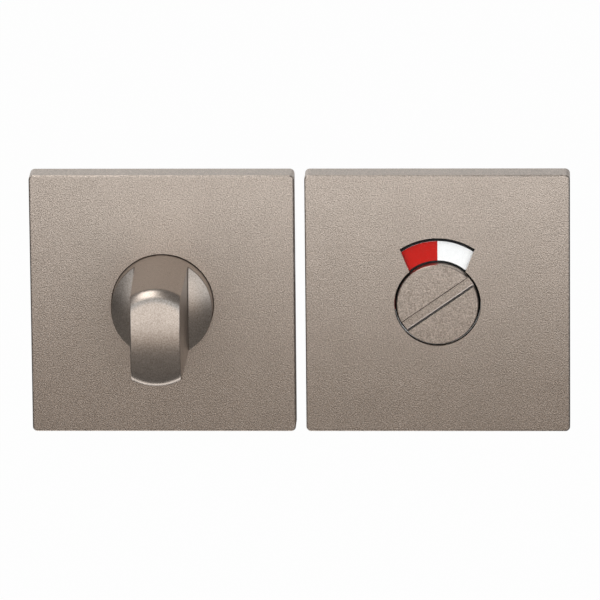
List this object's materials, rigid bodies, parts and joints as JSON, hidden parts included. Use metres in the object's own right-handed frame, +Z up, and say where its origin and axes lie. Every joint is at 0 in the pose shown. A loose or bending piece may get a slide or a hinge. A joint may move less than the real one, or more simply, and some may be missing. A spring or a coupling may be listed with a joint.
{
  "type": "bathroom thumb turn lock",
  "caption": "Bathroom door lock set: square rose with a thumb turn and square spindle, and a matching rose with a slotted emergency release and a red and white indicator window.",
  "frame": {"origin": "spindle axis of the thumb turn half at the door face", "axes": "+Y into the door, +Z up, +X right as seen from the front; both halves face -Y"},
  "size_m": [0.102, 0.0765, 0.05],
  "materials": {
    "satin_taupe": "stainless steel with a fine blasted satin surface and a taupe vapour-deposited coat",
    "cast_base": "zinc casting with a thin black coat",
    "acetal": "natural acetal",
    "plated_steel": "bright zinc plate",
    "spring_steel": "oiled spring steel",
    "clear_acrylic": "clear acrylic",
    "indicator_white": "white moulded plastic",
    "indicator_red": "red moulded plastic"
  },
  "bodies": {
    "root": {"turn_cover": "satin_taupe", "turn_base": "cast_base", "turn_bush": "acetal", "turn_flat_washer": "plated_steel", "turn_spring_washer": "spring_steel", "turn_through_bolts": "plated_steel", "turn_cover_clips": "spring_steel", "release_cover": "satin_taupe", "release_base": "cast_base", "release_bush": "acetal", "release_flat_washer": "plated_steel", "release_spring_washer": "spring_steel", "release_sleeves": "plated_steel", "release_cover_clips": "spring_steel", "indicator_window": "clear_acrylic"},
    "turn": {"thumb_turn": "satin_taupe", "turn_spindle": "plated_steel", "spindle_pin": "plated_steel", "turn_circlip": "spring_steel"},
    "release": {"release_hub": "satin_taupe", "indicator_disc": "indicator_white", "indicator_red_field": "indicator_red", "release_circlip": "spring_steel"}
  },
  "joints": [
    {"name": "thumb_turn_hinge", "type": "hinge", "parent": "root", "child": "turn", "pos_m": [0, 0, 0], "axis": [0, -1, 0], "range_deg": [0, 90]},
    {"name": "release_hinge", "type": "hinge", "parent": "root", "child": "release", "pos_m": [0.052, 0, 0], "axis": [0, 1, 0], "range_deg": [-45, 45]}
  ]
}
